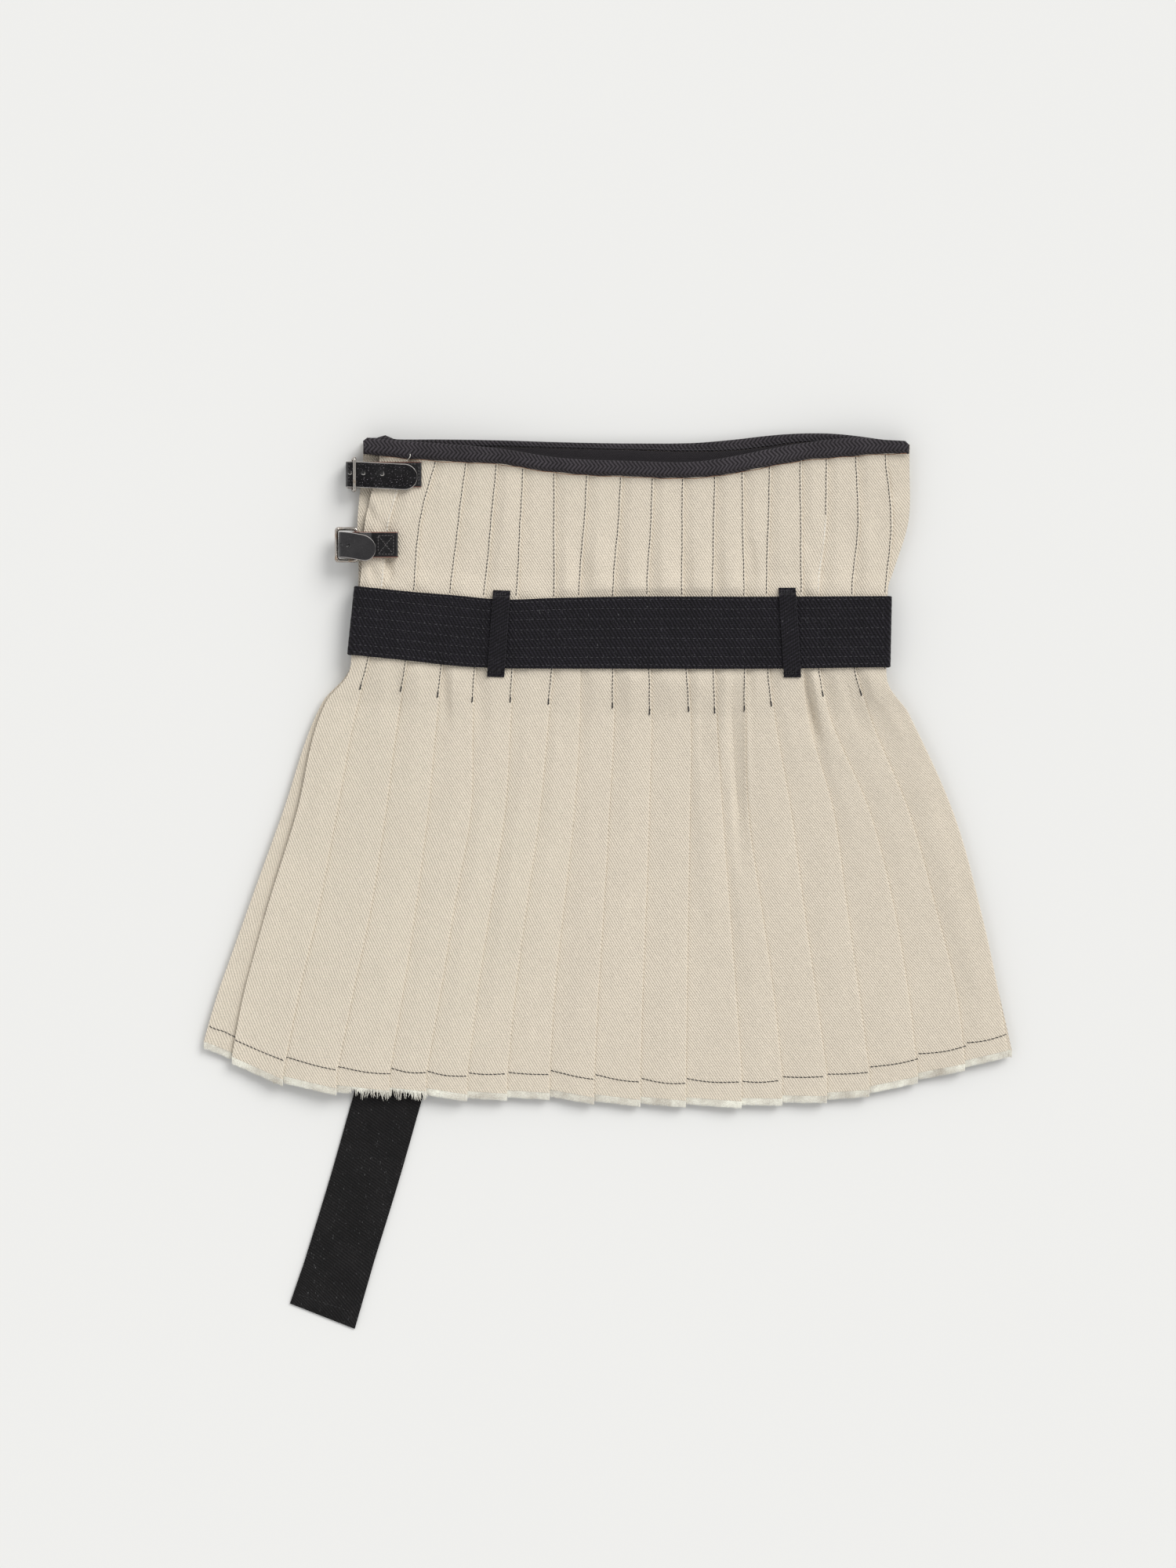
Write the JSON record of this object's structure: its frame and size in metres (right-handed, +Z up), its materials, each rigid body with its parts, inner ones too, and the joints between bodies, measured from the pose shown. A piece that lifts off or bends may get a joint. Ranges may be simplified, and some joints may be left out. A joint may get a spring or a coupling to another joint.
{
  "type": "mini kilt",
  "caption": "Pleated wool mini kilt laid flat, with knife pleats stitched down to the hip, a frayed hem, a belt through loops and leather buckle straps.",
  "frame": {"origin": "the middle of the bounding box's base, on the surface that the kilt lies on", "axes": "+X across the kilt to the right as seen from above, +Y from the hem up to the waist, +Z up from the surface"},
  "size_m": [0.4936, 0.5493, 0.0179],
  "materials": {
    "cloth": "cream wool twill, matt, with a fine diagonal weave",
    "fringe": "frayed cream wool yarn ends",
    "binding": "black herringbone twill tape, matt",
    "facing": "plain black cotton, matt",
    "belt": "black twill belting, quilted with rows of black topstitching",
    "leather": "black glossy grained leather with raw red-brown edges",
    "nickel": "polished nickel wire, slightly worn"
  },
  "bodies": {
    "root": {"front": "cloth", "back": "cloth", "under_apron": "cloth", "front_fringe": "fringe", "back_fringe": "fringe", "under_apron_fringe": "fringe", "front_binding": "binding", "back_binding": "binding", "back_facing": "facing", "belt_front": "belt", "belt_back": "belt", "belt_tail": "belt", "loop_front_left": "belt", "loop_front_right": "belt", "loop_back_left": "belt", "loop_back_right": "belt", "upper_buckle_tab": "leather", "upper_buckle_frame": "nickel", "upper_strap": "leather", "lower_buckle_tab": "leather", "lower_buckle_frame": "nickel", "lower_strap": "leather"}
  },
  "joints": []
}
